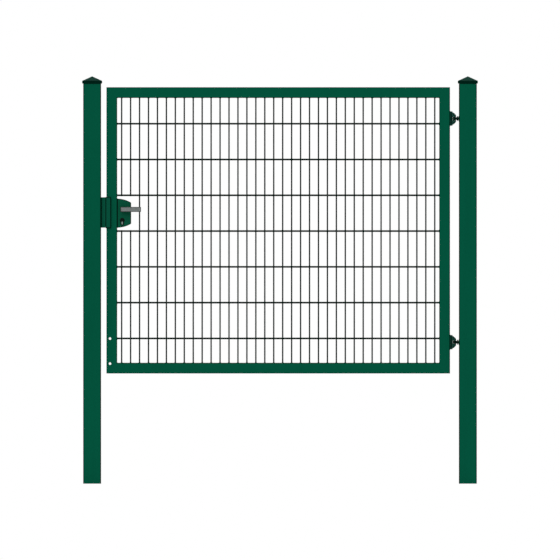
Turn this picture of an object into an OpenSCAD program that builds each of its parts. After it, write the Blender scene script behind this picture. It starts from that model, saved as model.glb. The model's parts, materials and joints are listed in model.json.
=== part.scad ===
// Single garden or yard gate: a tubular steel leaf filled with double-rod mesh, hung between two posts.
// Millimetres, +Z up. The origin is the centre of the hinge post's foot. The leaf lies towards -X,
// and it opens away from the front, towards +Y. The front is the side that the keep's stop bar is on.

/* [Gateway] */
// Clear width between the two posts
clear_w = 2000; // [1200:50:3000]
// How far the post tubes rise above the leaf
post_over = 20; // [10:5:200]
// Outside width of a post tube, which is square
post_w = 100; // [80:5:160]
// Wall of a post tube
post_wall = 3; // [2.5:0.5:5]
// Outside radius of a post tube's corners
post_corner = 6; // [5.5:0.5:10]

/* [Post caps] */
// How far a cap's rim stands out past the post's side
cap_overhang = 6; // [2:0.5:12]
// Height of the cap's upright rim
cap_rim_h = 16; // [8:1:30]
// Height of the pyramid above the rim
cap_rise = 25; // [10:1:60]
// Metal thickness of the cap
cap_wall = 3; // [2:0.5:5]
// Depth of the spigot that plugs the tube
cap_spigot_h = 20; // [10:1:40]
// Size of the slope under the rim
cap_bevel = 3; // [1:0.5:6]

/* [Leaf frame] */
// Height of the leaf's lower edge above the posts' feet, most of which is set in the ground
leaf_z = 616; // [300:1:1000]
// Height of the leaf
leaf_h = 1600; // [1220:10:2400]
// Width of the frame tube's face
tube_w = 60; // [40:1:80]
// Depth of the frame tube, front to back
tube_d = 40; // [34:1:60]
// Wall of the frame tube
tube_wall = 2; // [1.5:0.5:3]
// Outside radius of the frame tube's corners
tube_corner = 4; // [3.5:0.5:7]
// Gap between the latch post and the leaf
latch_gap = 30; // [26:1:45]
// Least gap between a moving piece and a fixed one
move_gap = 5; // [5:1:10]
// Diameter of the two holes for a drop bolt in the latch stile
drop_hole_d = 14; // [8:0.5:18]
// Distance between the two drop bolt holes
drop_hole_pitch = 140; // [100:5:200]
// Height of the lower drop bolt hole above the leaf's lower edge
drop_hole_z = 55; // [40:1:100]
// Distance of the drop bolt holes from the latch stile's outer edge
drop_hole_x = 20; // [14:1:26]

/* [Mesh] */
// Thickness of an upright wire over its plastic coat
wire_d = 8; // [5:0.5:9]
// Distance between upright wires
wire_pitch = 50; // [40:5:100]
// Thickness over its coat of a level rod, of which each row has one in front and one behind
rod_d = 10; // [6:0.5:11]
// Distance between rows of level rods, between two of which the lock case fits
rod_pitch = 200; // [194:2:250]
// Height of the lowest row of rods above the leaf's lower edge
rod_z = 196; // [120:1:240]
// Depth by which a weld sinks a rod into a wire
weld_sink = 1; // [0.8:0.1:1.5]
// Row of rods under the lock, counted from the lowest as 0
lock_row = 3; // [2:1:3]

/* [Lock] */
// How far the lock case stands out from the latch stile
case_w = 78; // [76:1:110]
// Gap between the lock case and the rods above and below it
case_gap = 14; // [8:1:17]
// How much lower the case's free edge is at each end than the edge on the stile
case_drop = 22; // [10:1:24]
// Sheet thickness of the lock case
case_wall = 3; // [2:0.5:4]
// Distance of the lever's axis from the stile's inner edge
lever_x = 28; // [28:1:34]
// Height of the lever's axis above the middle of the lock
lever_up = 21; // [18:1:30]
// Distance from the lever's axis down to the key cylinder's axis
key_down = 61; // [58:1:72]
// Thickness of the mortise lock inside the case
lock_d = 16; // [14:1:20]
// How much taller the forend plate on the stile's edge is than the case
forend_extra = 8; // [4:1:11]
// Width of the forend plate, front to back
forend_d = 24; // [22:1:28]
// Thickness of the forend plate
forend_t = 3; // [2:0.5:4]
// How far the latch stands out of the forend
latch_throw = 12; // [8:0.5:14]

/* [Lever] */
// Length of a lever from its axis to its tip
lever_l = 105; // [90:1:130]
// Height of the grip
grip_h = 28; // [20:1:30]
// Thickness of the grip, front to back
grip_t = 12; // [8:1:16]
// Finger room between the lock case and the grip
finger_gap = 24; // [20:1:40]
// Diameter of the lever's round neck
neck_d = 18; // [16:1:20]
// Width of the square spindle
spindle_w = 8; // [7:0.5:9]

/* [Keep] */
// Thickness of the keep channel's web, which lies on the post
keep_t = 4; // [3:0.5:5]
// How much taller the channel is than the lock case
keep_extra = 8; // [0:1:20]
// How much higher the keep's middle is than the lock's
keep_up = 4; // [0:1:10]
// Width of the stop bar in front of the leaf
stop_w = 30; // [20:1:40]
// How much taller the stop bar is than the channel
stop_extra = 4; // [0:1:40]
// Thickness of the stop bar and of the channel's front flange
stop_t = 6; // [4:0.5:10]

/* [Hinges] */
// Distance of each hinge from the leaf's top or bottom
hinge_inset = 175; // [100:5:300]
// Height of the bracket's base on the stile
base_h = 80; // [80:1:120]
// Thickness of the bracket's base
base_t = 14; // [10:1:14]
// Width of the bracket, front to back
bracket_d = 20; // [18:1:20]
// Radius of the bracket's half-round body
body_r = 38; // [37:0.5:40]
// Diameter of the hinge pin
pin_d = 10; // [8:0.5:10]
// Diameter of the eye bolt's shank
shank_d = 16; // [12:1:20]
// Wall of the eye round the pin
eye_wall = 5; // [4:0.5:6]
// Length of the shank inside the post
shank_in = 40; // [25:1:60]

/* [Hidden] */
$fn = 64;

// Colours
green_paint = [0, 0.31, 0.22];
keep_paint = [0.03, 0.28, 0.21];
cap_paint = [0.13, 0.24, 0.20];
mesh_paint = [0.02, 0.20, 0.15];
hinge_steel = [0.10, 0.19, 0.16];
zinc_steel = [0.57, 0.57, 0.54];
stainless_steel = [0.66, 0.67, 0.66];
lever_grey = [0.46, 0.47, 0.47];
black_plastic = [0, 0.04, 0.03];

// Clearances
slip = 0.1;   // a turning or pushed-in round piece, on the radius
fit = 0.2;    // a flat-sided piece in its slot, on each side
play = 0.3;   // between the eye and the bracket's ears
case_room = 1.5; // between the mortise lock's corners and the case round it
eye_room = 1; // between the eye and the bracket's base
cut = 1;      // how far a cutting shape runs past the faces it cuts

// Posts
post_half = post_w / 2;
post_h = leaf_z + leaf_h + post_over;
post_bore = post_w - 2 * post_wall;
latch_x = -(clear_w + post_w);
latch_face = latch_x + post_half;
cap_slope = cap_rise / (post_half + cap_overhang);

// Hinges: the eye fits in front of the bracket's base, and the opened leaf clears the hinge post
eye_d = pin_d + 2 * eye_wall;
eye_h = shank_d + 1;
axis_off = base_t + eye_room + eye_d / 2;
hinge_gap = axis_off + tube_d / 2 + move_gap;

// Leaf
leaf_left = latch_face + latch_gap;
leaf_right = -post_half - hinge_gap;
leaf_w = leaf_right - leaf_left;
leaf_top = leaf_z + leaf_h;
open_left = leaf_left + tube_w;
open_right = leaf_right - tube_w;
open_w = open_right - open_left;
open_bottom = leaf_z + tube_w;
open_top = leaf_top - tube_w;

// Mesh
bar_sides = 8;
wire_n = floor(open_w / wire_pitch);
wire_half = ceil(wire_n / 2);
wire_margin = (open_w - (wire_n - 1) * wire_pitch) / 2;
mesh_split = open_left + wire_margin + (wire_half - 0.5) * wire_pitch;
row_first = leaf_z + rod_z;
row_n = floor((open_top - row_first - 2 * rod_d) / rod_pitch) + 1;
rod_y = (wire_d + rod_d) / 2 - weld_sink;

// Lock: its middle is halfway between two rows of rods
lock_z = row_first + (lock_row + 0.5) * rod_pitch;
case_h = rod_pitch - rod_d - 2 * case_gap;
case_r = (case_w * case_w + case_drop * case_drop) / (2 * case_drop);
lever_axis_x = open_left + lever_x;
lever_z = lock_z + lever_up;
key_z = lever_z - key_down;
lock_reach = lever_x + neck_d;
lock_half_h = sqrt(pow(case_r - case_wall, 2) - lock_reach * lock_reach) - case_r + case_h / 2 - case_room;
plug_d = 17;
key_h = 33;
key_lobe_w = 10;
key_proud = 5;
rose_rim = 5;
rose_t = 3;
lock_sheet = 2;
forend_h = case_h + forend_extra;
forend_screw_inset = 6;
forend_screw_z = forend_h / 2 - forend_screw_inset;
forend_screw_d = 5;
forend_screw_head_d = 9;
forend_screw_l = 16;
bolt_d = 12;
latch_h = 24;
latch_nose = 3;
latch_heel = 1;
dead_h = 30;
dead_z = key_z + key_lobe_w;
dead_proud = 1;

// Lever
grip_y = tube_d / 2 + finger_gap;
grip_back = neck_d / 2 + 1;
grip_corner = 3;
spindle_end = 4;
socket_y = grip_y - spindle_end;

// Keep: it stops short of the leaf's edge, and its lip stops short of the latch
keep_out = latch_gap - move_gap;
keep_lip = latch_gap - forend_t - latch_throw - move_gap;
keep_h = case_h + keep_extra;
keep_z = lock_z + keep_up;
stop_h = keep_h + stop_extra;
stop_y = -(tube_d / 2 + move_gap + stop_t);
keep_screw_d = 8;
keep_screw_head_d = 15;
keep_screw_inset = 25;
keep_screw_z = keep_h / 2 - keep_screw_inset;
keep_screw_y = -14;
screw_past = 12;

// Hinge pieces
hinge_x = leaf_right + axis_off;
hinge_zs = [leaf_top - hinge_inset, leaf_z + hinge_inset];
pin_head_d = pin_d + 4;
pin_head_h = 7;
pin_seat = 17;
nut_w = 1.5 * shank_d;
nut_t = 7;
nut_gap = 3;
insert_d = shank_d + 6;
insert_l = 25;
insert_flange_d = insert_d + 8;
insert_flange_t = 1.5;

// A box from one corner to the other
module span(a, b) {
    translate(a) cube(b - a);
}

// Rectangle with round corners, its middle on the origin
module rounded(w, h, r) {
    union() {
        square([w - 2 * r, h], center = true);
        square([w, h - 2 * r], center = true);
        for (x = [-1, 1], y = [-1, 1]) translate([x * (w / 2 - r), y * (h / 2 - r)]) circle(r = r);
    }
}

// Cross-section of a tube with round corners
module tube_profile(w, h, r, wall) {
    difference() {
        rounded(w, h, r);
        rounded(w - 2 * wall, h - 2 * wall, r - wall);
    }
}

// Square tube standing on z = 0
module post_tube() {
    linear_extrude(post_h) tube_profile(post_w, post_w, post_corner, post_wall);
}

// Frame tube whose two ends are cut at 45 degrees; its longer side lies on y = 0, its depth along z
module mitred_tube(length) {
    intersection() {
        translate([0, 0, -tube_d]) linear_extrude(2 * tube_d)
            polygon([[0, 0], [length, 0], [length - tube_w, tube_w], [tube_w, tube_w]]);
        translate([0, tube_w / 2, 0]) rotate([90, 0, 90]) linear_extrude(length)
            tube_profile(tube_w, tube_d, tube_corner, tube_wall);
    }
}

// Extrudes an outline drawn in x and z over a stretch of y
module along_y(from, to) {
    translate([0, to, 0]) rotate([90, 0, 0]) linear_extrude(to - from) children();
}

// Round bar along +X
module bar_x(d, length) {
    rotate([0, 90, 0]) cylinder(h = length, d = d);
}

// Profile of a cap, half of it mirrored: straight rim, bevel under it, slope above it
module cap_profile(half_w, rim_h, rise, bevel) {
    polygon([
        [-half_w + bevel, 0], [half_w - bevel, 0], [half_w, bevel], [half_w, rim_h],
        [0, rim_h + rise], [-half_w, rim_h], [-half_w, bevel]
    ]);
}

// Four-sided solid with the same profile in both upright directions
module cap_shape(half_w, rim_h, rise, bevel) {
    intersection() {
        along_y(-half_w, half_w) cap_profile(half_w, rim_h, rise, bevel);
        rotate(90) along_y(-half_w, half_w) cap_profile(half_w, rim_h, rise, bevel);
    }
}

module post_cap(x) {
    half_w = post_half + cap_overhang;
    spigot_w = post_bore - 2 * fit;
    inner_half = spigot_w / 2 - cap_wall;
    color(cap_paint) translate([x, 0, post_h]) difference() {
        union() {
            cap_shape(half_w, cap_rim_h, cap_rise, cap_bevel);
            translate([0, 0, -cap_spigot_h]) linear_extrude(cap_spigot_h + cap_wall)
                rounded(spigot_w, spigot_w, post_corner - post_wall);
        }
        translate([0, 0, -cap_spigot_h - cut])
            cap_shape(inner_half, cap_spigot_h + cut + cap_rim_h - cap_wall, cap_slope * inner_half, 0);
    }
}

module latch_post() {
    color(green_paint) translate([latch_x, 0, 0]) difference() {
        post_tube();
        for (s = [-1, 1]) translate([post_half - post_wall - cut, keep_screw_y, keep_z + s * keep_screw_z])
            bar_x(keep_screw_d + 2 * slip, post_wall + 2 * cut);
    }
}

module hinge_post() {
    color(green_paint) difference() {
        post_tube();
        for (z = hinge_zs) translate([-post_half - cut, 0, z])
            bar_x(insert_d + 2 * slip, post_wall + 2 * cut);
    }
}

// Countersunk screw or its hole: the head's top is at x = 0 and the shank runs to -X
module countersunk(d, head_d, length, grow) {
    head_l = (head_d - d) / 2;
    translate([-length, 0, 0]) bar_x(d + 2 * grow, length);
    translate([-head_l, 0, 0]) rotate([0, 90, 0])
        cylinder(h = head_l, d1 = d + 2 * grow, d2 = head_d + 2 * grow);
}

module keep_channel() {
    color(keep_paint) translate([latch_face, 0, keep_z]) difference() {
        translate([0, 0, -keep_h / 2]) linear_extrude(keep_h) union() {
            translate([0, stop_y]) square([keep_t, tube_d / 2 - stop_y]);
            translate([0, stop_y]) square([keep_out, stop_t]);
            translate([0, tube_d / 2 - keep_t]) square([keep_lip, keep_t]);
        }
        for (s = [-1, 1]) translate([keep_t, keep_screw_y, s * keep_screw_z])
            countersunk(keep_screw_d, keep_screw_head_d, keep_t + cut, slip);
    }
}

module stop_bar() {
    color(keep_paint) translate([latch_face + keep_out, stop_y, keep_z - stop_h / 2])
        cube([stop_w, stop_t, stop_h]);
}

module keep_screws() {
    color(zinc_steel) for (s = [-1, 1])
        translate([latch_face + keep_t, keep_screw_y, keep_z + s * keep_screw_z])
            countersunk(keep_screw_d, keep_screw_head_d, keep_t + post_wall + screw_past, 0);
}

// Forged eye on a round shank that runs to +X into the post
module eye_bolt(z) {
    shank_l = -post_half - hinge_x + shank_in;
    color(hinge_steel) translate([hinge_x, 0, z]) difference() {
        union() {
            translate([0, 0, -eye_h / 2]) cylinder(h = eye_h, d = eye_d);
            bar_x(shank_d, shank_l);
        }
        translate([0, 0, -eye_h]) cylinder(h = 2 * eye_h, d = pin_d + 2 * slip);
    }
}

// Thin hexagon nut on the shank, just off the post
module lock_nut(z) {
    nut_x = -post_half - nut_gap - nut_t;
    color(hinge_steel) translate([nut_x, 0, z]) difference() {
        rotate([0, 90, 0]) cylinder(h = nut_t, d = nut_w / cos(30), $fn = 6);
        translate([-cut, 0, 0]) bar_x(shank_d + 2 * slip, nut_t + 2 * cut);
    }
}

// Threaded insert set in the post's wall, with its flange outside
module post_insert(z) {
    color(zinc_steel) translate([-post_half, 0, z]) difference() {
        union() {
            bar_x(insert_d, insert_l);
            translate([-insert_flange_t, 0, 0]) bar_x(insert_flange_d, insert_flange_t);
        }
        translate([-insert_flange_t - cut, 0, 0])
            bar_x(shank_d + 2 * slip, insert_l + insert_flange_t + 2 * cut);
    }
}

// The leaf's four tubes
module bottom_rail() {
    color(green_paint) translate([leaf_left, 0, leaf_z]) rotate([90, 0, 0]) mitred_tube(leaf_w);
}

module top_rail() {
    color(green_paint) translate([leaf_left, 0, leaf_top]) rotate([-90, 0, 0]) mitred_tube(leaf_w);
}

// The left-hand stile has its longer side on x = 0; the other is the same tube turned round
module stile_tube(side) {
    rotate([0, -90, -90 * side]) mitred_tube(leaf_h);
}

module latch_stile() {
    slot_half_h = lock_half_h + fit;
    slot_half_d = lock_d / 2 + fit;
    color(green_paint) difference() {
        translate([leaf_left, 0, leaf_z]) stile_tube(1);
        span([leaf_left - cut, -slot_half_d, lock_z - slot_half_h],
             [open_left + cut, slot_half_d, lock_z + slot_half_h]);
        for (k = [0, 1]) translate([leaf_left + drop_hole_x, 0, leaf_z + drop_hole_z + k * drop_hole_pitch])
            rotate([90, 0, 0]) cylinder(h = tube_d + 2 * cut, d = drop_hole_d, center = true);
        for (s = [-1, 1]) translate([leaf_left - cut, 0, lock_z + s * forend_screw_z])
            bar_x(forend_screw_d + 2 * slip, tube_wall + 2 * cut);
    }
}

module hinge_stile() {
    color(green_paint) translate([leaf_right, 0, leaf_z]) stile_tube(-1);
}

// Upright wire, or one of its two lengths where the lock stands in its way
module wire(i) {
    x = open_left + wire_margin + i * wire_pitch;
    below_lock = row_first + lock_row * rod_pitch + rod_d / 2;
    above_lock = row_first + (lock_row + 1) * rod_pitch - rod_d / 2;
    stretches = x - open_left < case_w + wire_d
        ? [[open_bottom, below_lock], [above_lock, open_top]]
        : [[open_bottom, open_top]];
    for (s = stretches) translate([x, 0, s[0]]) rotate(180 / bar_sides)
        cylinder(h = s[1] - s[0], d = wire_d, $fn = bar_sides);
}

// Pair of level rods, one in front of the wires and one behind
module rod_pair(row, from, to) {
    for (side = [-1, 1]) translate([from, side * rod_y, row_first + row * rod_pitch])
        rotate([0, 90, 0]) rotate(180 / bar_sides) cylinder(h = to - from, d = rod_d, $fn = bar_sides);
}

module mesh_part(first, last, from, to) {
    color(mesh_paint) union() {
        for (i = [first : last]) wire(i);
        for (row = [0 : row_n - 1]) rod_pair(row, from, to);
    }
}

module mesh_latch_side() { mesh_part(0, wire_half - 1, open_left, mesh_split); }
module mesh_hinge_side() { mesh_part(wire_half, wire_n - 1, mesh_split, open_right); }

// Outline of the bracket seen from the front: a tall base on the stile, and a half-round body up to its tip
module bracket_outline(base_x) {
    translate([base_x, -base_h / 2]) square([base_t, base_h]);
    intersection() {
        translate([base_x, 0]) circle(r = body_r);
        translate([base_x, -body_r]) square([body_r, 2 * body_r]);
    }
}

// Bracket welded to the stile, with two ears that hold the pin above and below the eye
module hinge_bracket(z) {
    base_x = -axis_off;
    tip_r = bracket_d / 2;
    color(hinge_steel) translate([hinge_x, 0, z]) difference() {
        intersection() {
            along_y(-bracket_d / 2, bracket_d / 2) union() bracket_outline(base_x);
            translate([0, 0, -base_h]) linear_extrude(2 * base_h) union() {
                translate([base_x, -bracket_d / 2]) square([-base_x, bracket_d]);
                circle(r = tip_r);
            }
        }
        span([base_x + base_t, -bracket_d, -eye_h / 2 - play], [hinge_gap, bracket_d, eye_h / 2 + play]);
        translate([0, 0, -base_h]) cylinder(h = 2 * base_h, d = pin_d);
        for (s = [0, 1]) mirror([0, 0, s]) translate([0, 0, pin_seat])
            cylinder(h = base_h, d = pin_head_d + 2 * fit);
    }
}

// Pin with a round head at each end, each sunk in its ear
module hinge_pin(z) {
    color(zinc_steel) translate([hinge_x, 0, z]) union() {
        translate([0, 0, -pin_seat]) cylinder(h = 2 * pin_seat, d = pin_d);
        for (s = [0, 1]) mirror([0, 0, s]) translate([0, 0, pin_seat])
            cylinder(h = pin_head_h, d = pin_head_d);
    }
}

// Lock case outline, in the distance from the stile's inner edge and the height from the lock's middle
module case_outline(inset) {
    r = case_r - inset;
    centre = case_r - case_h / 2;
    intersection() {
        translate([0, -case_h / 2 + inset]) square([case_w - inset, case_h - 2 * inset]);
        translate([0, -centre]) circle(r = r, $fn = 128);
        translate([0, centre]) circle(r = r, $fn = 128);
    }
}

// Key cylinder outline: round plug with a narrow lobe below it, grown all round by rim
module key_outline(rim) {
    lobe_r = key_lobe_w / 2 + rim;
    lobe_z = plug_d / 2 + key_lobe_w / 2 - key_h;
    union() {
        circle(d = plug_d + 2 * rim);
        translate([-lobe_r, lobe_z]) square([2 * lobe_r, -lobe_z]);
        translate([0, lobe_z]) circle(r = lobe_r);
    }
}

// Hollow case welded to the stile, with holes for the levers and the key cylinder
module lock_case() {
    half_d = tube_d / 2;
    color(green_paint) difference() {
        translate([open_left, 0, lock_z]) along_y(-half_d, half_d) case_outline(0);
        translate([open_left, 0, lock_z]) along_y(case_wall - half_d, half_d - case_wall) intersection() {
            case_outline(case_wall);
            translate([-cut, -case_h]) square([2 * case_w, 2 * case_h]);
        }
        translate([lever_axis_x, 0, lever_z]) rotate([90, 0, 0])
            cylinder(h = tube_d + 2 * cut, d = neck_d + 2 * slip, center = true);
        translate([lever_axis_x, 0, key_z]) along_y(-half_d - cut, half_d + cut) key_outline(fit);
    }
}

// Thin-walled mortise lock inside the stile and the case
module lock_body() {
    half = [0, lock_d / 2, lock_half_h];
    wall = [lock_sheet, lock_sheet, lock_sheet];
    low = [leaf_left, 0, lock_z] - half;
    high = [open_left + lock_reach, 0, lock_z] + half;
    color(zinc_steel) difference() {
        span(low, high);
        span(low + wall, high - wall);
        translate([lever_axis_x, 0, lever_z]) rotate([90, 0, 0])
            cylinder(h = tube_d, d = neck_d, center = true);
        translate([lever_axis_x, 0, key_z]) along_y(-tube_d, tube_d) key_outline(fit);
    }
}

module lock_forend() {
    color(stainless_steel) difference() {
        span([leaf_left - forend_t, -forend_d / 2, lock_z - forend_h / 2],
             [leaf_left, forend_d / 2, lock_z + forend_h / 2]);
        bolt_slot(lever_z, latch_h);
        bolt_slot(dead_z, dead_h);
        for (s = [-1, 1]) translate([leaf_left - forend_t, 0, lock_z + s * forend_screw_z]) mirror([1, 0, 0])
            countersunk(forend_screw_d, forend_screw_head_d, forend_t + cut, slip);
    }
}

// Slot in the forend for a bolt
module bolt_slot(z, height) {
    side = bolt_d / 2 + fit;
    half_h = height / 2 + fit;
    span([leaf_left - forend_t - cut, -side, z - half_h], [leaf_left + cut, side, z + half_h]);
}

module forend_screws() {
    color(zinc_steel) for (s = [-1, 1]) translate([leaf_left - forend_t, 0, lock_z + s * forend_screw_z])
        mirror([1, 0, 0]) countersunk(forend_screw_d, forend_screw_head_d, forend_screw_l, 0);
}

// Latch: flat at the back, sloped at the front, so that it rides over the keep's lip as the leaf closes
module latch_bolt() {
    reach = forend_t + latch_throw;
    half = bolt_d / 2;
    color(zinc_steel) translate([leaf_left, 0, lever_z - latch_h / 2]) linear_extrude(latch_h)
        polygon([
            [0, -half], [0, half], [-reach, half], [-reach, half - latch_nose],
            [-forend_t - latch_heel, -half]
        ]);
}

// Dead bolt, drawn back so that it stands just proud of the forend
module dead_bolt() {
    color(zinc_steel) translate([0, 0, dead_z - dead_h / 2])
        span([leaf_left - forend_t - dead_proud, -bolt_d / 2, 0], [leaf_left, bolt_d / 2, dead_h]);
}

module key_cylinder() {
    reach = tube_d / 2 + rose_t + key_proud;
    color(zinc_steel) translate([lever_axis_x, 0, key_z]) along_y(-reach, reach) key_outline(0);
}

// Dark plate round the key cylinder, on one face of the case
module escutcheon(from, to) {
    color(black_plastic) translate([lever_axis_x, 0, key_z]) along_y(from, to) difference() {
        key_outline(rose_rim);
        key_outline(fit);
    }
}

module escutcheon_front() { escutcheon(-tube_d / 2 - rose_t, -tube_d / 2); }
module escutcheon_rear() { escutcheon(tube_d / 2, tube_d / 2 + rose_t); }

// Lever with a round neck through the case's sheet; the grip points along +X and side is -1 in front
module lever(side) {
    neck_end = grip_y + grip_t;
    socket_half = spindle_w / 2 + slip;
    inner_y = tube_d / 2 - case_wall;
    color(lever_grey) translate([lever_axis_x, 0, lever_z]) mirror([0, side < 0 ? 1 : 0, 0]) difference() {
        union() {
            along_y(inner_y, neck_end) circle(d = neck_d);
            along_y(grip_y, neck_end) translate([(lever_l - grip_back) / 2, 0])
                rounded(lever_l + grip_back, grip_h, grip_corner);
        }
        span([-socket_half, 0, -socket_half], [socket_half, socket_y + slip, socket_half]);
    }
}

module lever_front() { lever(-1); }
module lever_rear() { lever(1); }

module spindle() {
    color(zinc_steel) translate([lever_axis_x, 0, lever_z])
        span([-spindle_w / 2, -socket_y, -spindle_w / 2], [spindle_w / 2, socket_y, spindle_w / 2]);
}

module eye_bolt_upper() { eye_bolt(hinge_zs[0]); }
module eye_bolt_lower() { eye_bolt(hinge_zs[1]); }
module lock_nut_upper() { lock_nut(hinge_zs[0]); }
module lock_nut_lower() { lock_nut(hinge_zs[1]); }
module post_insert_upper() { post_insert(hinge_zs[0]); }
module post_insert_lower() { post_insert(hinge_zs[1]); }
module hinge_bracket_upper() { hinge_bracket(hinge_zs[0]); }
module hinge_bracket_lower() { hinge_bracket(hinge_zs[1]); }
module hinge_pin_upper() { hinge_pin(hinge_zs[0]); }
module hinge_pin_lower() { hinge_pin(hinge_zs[1]); }
module latch_post_cap() { post_cap(latch_x); }
module hinge_post_cap() { post_cap(0); }

latch_post();
hinge_post();
latch_post_cap();
hinge_post_cap();
keep_channel();
stop_bar();
keep_screws();
eye_bolt_upper();
eye_bolt_lower();
lock_nut_upper();
lock_nut_lower();
post_insert_upper();
post_insert_lower();
top_rail();
bottom_rail();
latch_stile();
hinge_stile();
mesh_latch_side();
mesh_hinge_side();
hinge_bracket_upper();
hinge_bracket_lower();
hinge_pin_upper();
hinge_pin_lower();
lock_case();
lock_body();
lock_forend();
forend_screws();
latch_bolt();
dead_bolt();
key_cylinder();
escutcheon_front();
escutcheon_rear();
lever_front();
lever_rear();
spindle();
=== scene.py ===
import json
from math import acos, cos, degrees, radians, sin, sqrt

import bmesh
import bpy
from mathutils import Matrix, Vector


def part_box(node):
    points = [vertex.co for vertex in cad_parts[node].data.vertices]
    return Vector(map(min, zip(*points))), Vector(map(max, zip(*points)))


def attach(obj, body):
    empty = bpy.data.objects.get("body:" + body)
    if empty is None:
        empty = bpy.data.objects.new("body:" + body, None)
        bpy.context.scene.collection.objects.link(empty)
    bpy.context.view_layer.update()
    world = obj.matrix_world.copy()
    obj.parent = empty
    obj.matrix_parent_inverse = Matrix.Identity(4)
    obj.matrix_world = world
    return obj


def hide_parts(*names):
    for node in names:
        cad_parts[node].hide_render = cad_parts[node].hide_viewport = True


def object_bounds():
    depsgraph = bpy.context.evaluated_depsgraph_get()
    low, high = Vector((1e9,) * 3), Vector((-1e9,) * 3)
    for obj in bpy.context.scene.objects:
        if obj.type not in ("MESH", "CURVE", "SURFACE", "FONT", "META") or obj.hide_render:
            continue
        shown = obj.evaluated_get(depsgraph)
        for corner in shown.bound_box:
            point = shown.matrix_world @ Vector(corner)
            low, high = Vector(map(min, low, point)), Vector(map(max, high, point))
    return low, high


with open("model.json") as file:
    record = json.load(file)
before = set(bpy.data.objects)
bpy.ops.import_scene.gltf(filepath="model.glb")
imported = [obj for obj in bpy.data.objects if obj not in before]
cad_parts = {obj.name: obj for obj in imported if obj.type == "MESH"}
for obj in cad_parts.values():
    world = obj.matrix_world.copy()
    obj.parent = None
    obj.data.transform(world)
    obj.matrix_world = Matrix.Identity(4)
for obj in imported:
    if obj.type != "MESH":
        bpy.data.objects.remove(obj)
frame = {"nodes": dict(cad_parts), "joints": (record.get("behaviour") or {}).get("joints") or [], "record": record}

# A single tubular gate between two posts. Sizes are in metres, in the frame's own axes: +Z up, the closed
# leaf towards -X, and the front towards -Y.

CAD_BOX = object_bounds()
MM = 0.001

# View and light
VIEW_WIDTH = 3.130
VIEW_HEIGHT = 1.1385
VIEW_DISTANCE = 8
FLOOR_REACH = 16
SKY_STRENGTH = 0.45

# Sizes that a node's box doesn't give
POST_WALL = 3 * MM
POST_CORNER = 6 * MM
TUBE_FACE = 60 * MM
TUBE_WALL = 2 * MM
TUBE_CORNER = 4 * MM
CAP_RIM = 16 * MM
CAP_SPIGOT = 20 * MM
WIRE_PITCH = 50 * MM
WIRE_RADIUS = 4 * MM
ROD_PITCH = 200 * MM
ROD_RADIUS = 5 * MM
CASE_DROP = 22 * MM
PLUG_RADIUS = 8.5 * MM
LOBE_RADIUS = 5 * MM
KEY_HEIGHT = 33 * MM
NECK_RADIUS = 9 * MM
BRACKET_BASE = 14 * MM
BRACKET_RADIUS = 38 * MM
PIN_RADIUS = 5 * MM
PIN_HEAD_RADIUS = 7 * MM
PIN_SEAT = 17 * MM
EYE_HALF = 8.5 * MM
SHANK_RADIUS = 8 * MM
NUT_HALF = 12 * MM
SLIP = 0.1 * MM  # room round a pin, screw or neck in its hole
SQUARE_ON = 0.999  # least part of a face's normal along Y, for a face that looks to the front or back

# Axes, from the frame
LEAF_SWING, LEVER_TURN = (Vector(joint["pos_m"]) for joint in frame["joints"])
HINGE_X = LEAF_SWING.x
KEY_AXIS = Vector((LEVER_TURN.x, 0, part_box("key_cylinder")[1].z - PLUG_RADIUS))
LEVER_SIDES = (("front", -1), ("rear", 1))


# Camera and light

def add_object(name, data):
    """A new object in the scene."""
    made = bpy.data.objects.new(name, data)
    bpy.context.scene.collection.objects.link(made)
    return made


def set_camera():
    """Level camera, square to the front, as wide as the gateway and a margin."""
    low, high = CAD_BOX
    lens = bpy.data.cameras.new("front_camera")
    lens.type = "ORTHO"
    lens.ortho_scale = VIEW_WIDTH
    camera = add_object("front_camera", lens)
    camera.location = ((low.x + high.x) / 2, low.y - VIEW_DISTANCE, VIEW_HEIGHT)
    camera.rotation_euler = (radians(90), 0, 0)
    bpy.context.scene.camera = camera


def add_sun(name, strength, spread, azimuth, elevation):
    """Soft sun; azimuth 0 shines from the front, and a positive one from the right."""
    data = bpy.data.lights.new(name, "SUN")
    data.energy = strength
    data.angle = radians(spread)
    lamp = add_object(name, data)
    lamp.rotation_euler = (radians(90 - elevation), 0, radians(azimuth))


# Node trees

def operator(operation):
    """An operator of Value, which adds a Math node."""
    def apply(self, other):
        return self.graph.node("ShaderNodeMath", {"operation": operation}, {0: self, 1: other})
    return apply


class Value:
    """A node's output, on which arithmetic adds Math nodes."""

    def __init__(self, graph, socket):
        self.graph = graph
        self.socket = socket

    __add__ = operator("ADD")
    __sub__ = operator("SUBTRACT")
    __mul__ = operator("MULTIPLY")
    __truediv__ = operator("DIVIDE")


class Graph:
    """Adds nodes to one node tree."""

    def __init__(self, tree):
        self.tree = tree

    def node(self, kind, settings=None, inputs=None, out=0):
        """One node: its settings are made first, then its sockets are fed."""
        made = self.tree.nodes.new(kind)
        for name, setting in (settings or {}).items():
            setattr(made, name, setting)
        for name, value in (inputs or {}).items():
            self.feed(made.inputs[name], value)
        return Value(self, made.outputs[out]) if made.outputs else None

    def feed(self, socket, value):
        """Links a node's output to a socket, or sets the socket to a plain value."""
        if isinstance(value, Value):
            self.tree.links.new(value.socket, socket)
        else:
            socket.default_value = value

    def blend(self, share, first, second, how="MIX"):
        """Colour between two others."""
        inputs = {0: share, 6: first, 7: second}
        return self.node("ShaderNodeMix", {"data_type": "RGBA", "blend_type": how}, inputs, out=2)

    def spread(self, value, low, high, start=0.0, end=1.0):
        """Value mapped from low..high to start..end, and held there beyond."""
        inputs = {"Value": value, "From Min": low, "From Max": high, "To Min": start, "To Max": end}
        return self.node("ShaderNodeMapRange", {"clamp": True}, inputs)


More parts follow.
